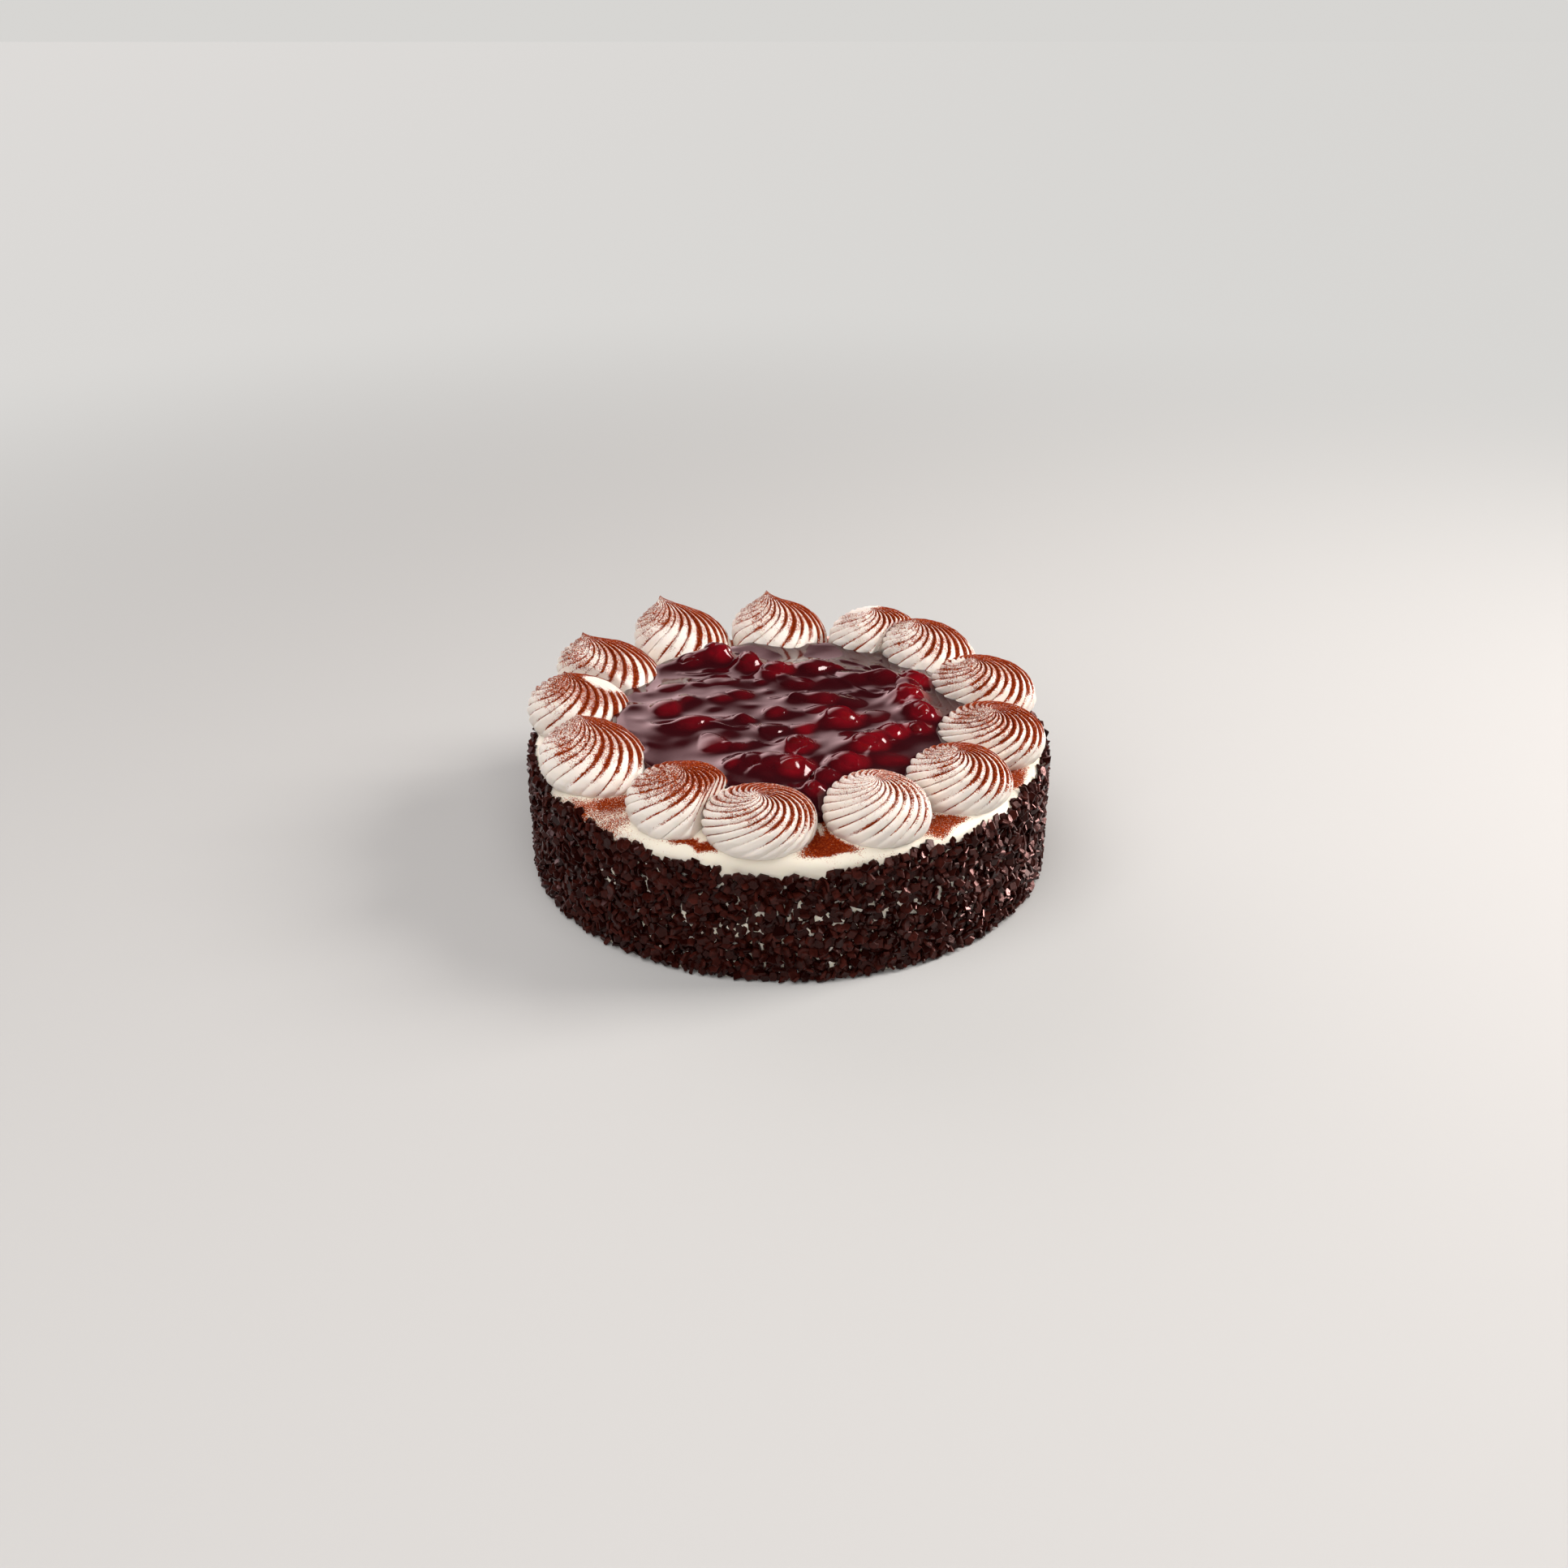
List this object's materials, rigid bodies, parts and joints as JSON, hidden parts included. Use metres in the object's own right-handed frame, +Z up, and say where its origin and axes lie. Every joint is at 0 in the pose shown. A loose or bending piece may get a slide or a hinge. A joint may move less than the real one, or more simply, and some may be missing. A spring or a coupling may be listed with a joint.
{
  "type": "cherry cake",
  "caption": "Round cream cake with a coat of chocolate flakes on its side, a ring of piped cream rosettes dusted with cocoa, and glossy cherry jelly inside the ring.",
  "frame": {"origin": "middle of the flat underside of the cake, on the surface it stands on", "axes": "+Z up out of the top; -Y is the front, the side the picture was taken from; +X is to the right in the picture"},
  "size_m": [0.2305, 0.2305, 0.0848],
  "materials": {
    "chocolate_flakes": "dark chocolate flakes, satin, over cream icing",
    "cream": "whipped cream, matt, dusted with cocoa",
    "jelly": "dark cherry jelly, wet gloss",
    "cherry": "glazed red cherry, wet gloss"
  },
  "bodies": {
    "root": {"cake": "chocolate_flakes", "rosette_01": "cream", "rosette_02": "cream", "rosette_03": "cream", "rosette_04": "cream", "rosette_05": "cream", "rosette_06": "cream", "rosette_07": "cream", "rosette_08": "cream", "rosette_09": "cream", "rosette_10": "cream", "rosette_11": "cream", "rosette_12": "cream", "rosette_13": "cream", "jelly": "jelly", "cherry_01": "cherry", "cherry_02": "cherry", "cherry_03": "cherry", "cherry_04": "cherry", "cherry_05": "cherry", "cherry_06": "cherry", "cherry_07": "cherry", "cherry_08": "cherry", "cherry_09": "cherry", "cherry_10": "cherry", "cherry_11": "cherry", "cherry_12": "cherry", "cherry_13": "cherry", "cherry_14": "cherry", "cherry_15": "cherry", "cherry_16": "cherry", "cherry_17": "cherry"}
  },
  "joints": []
}
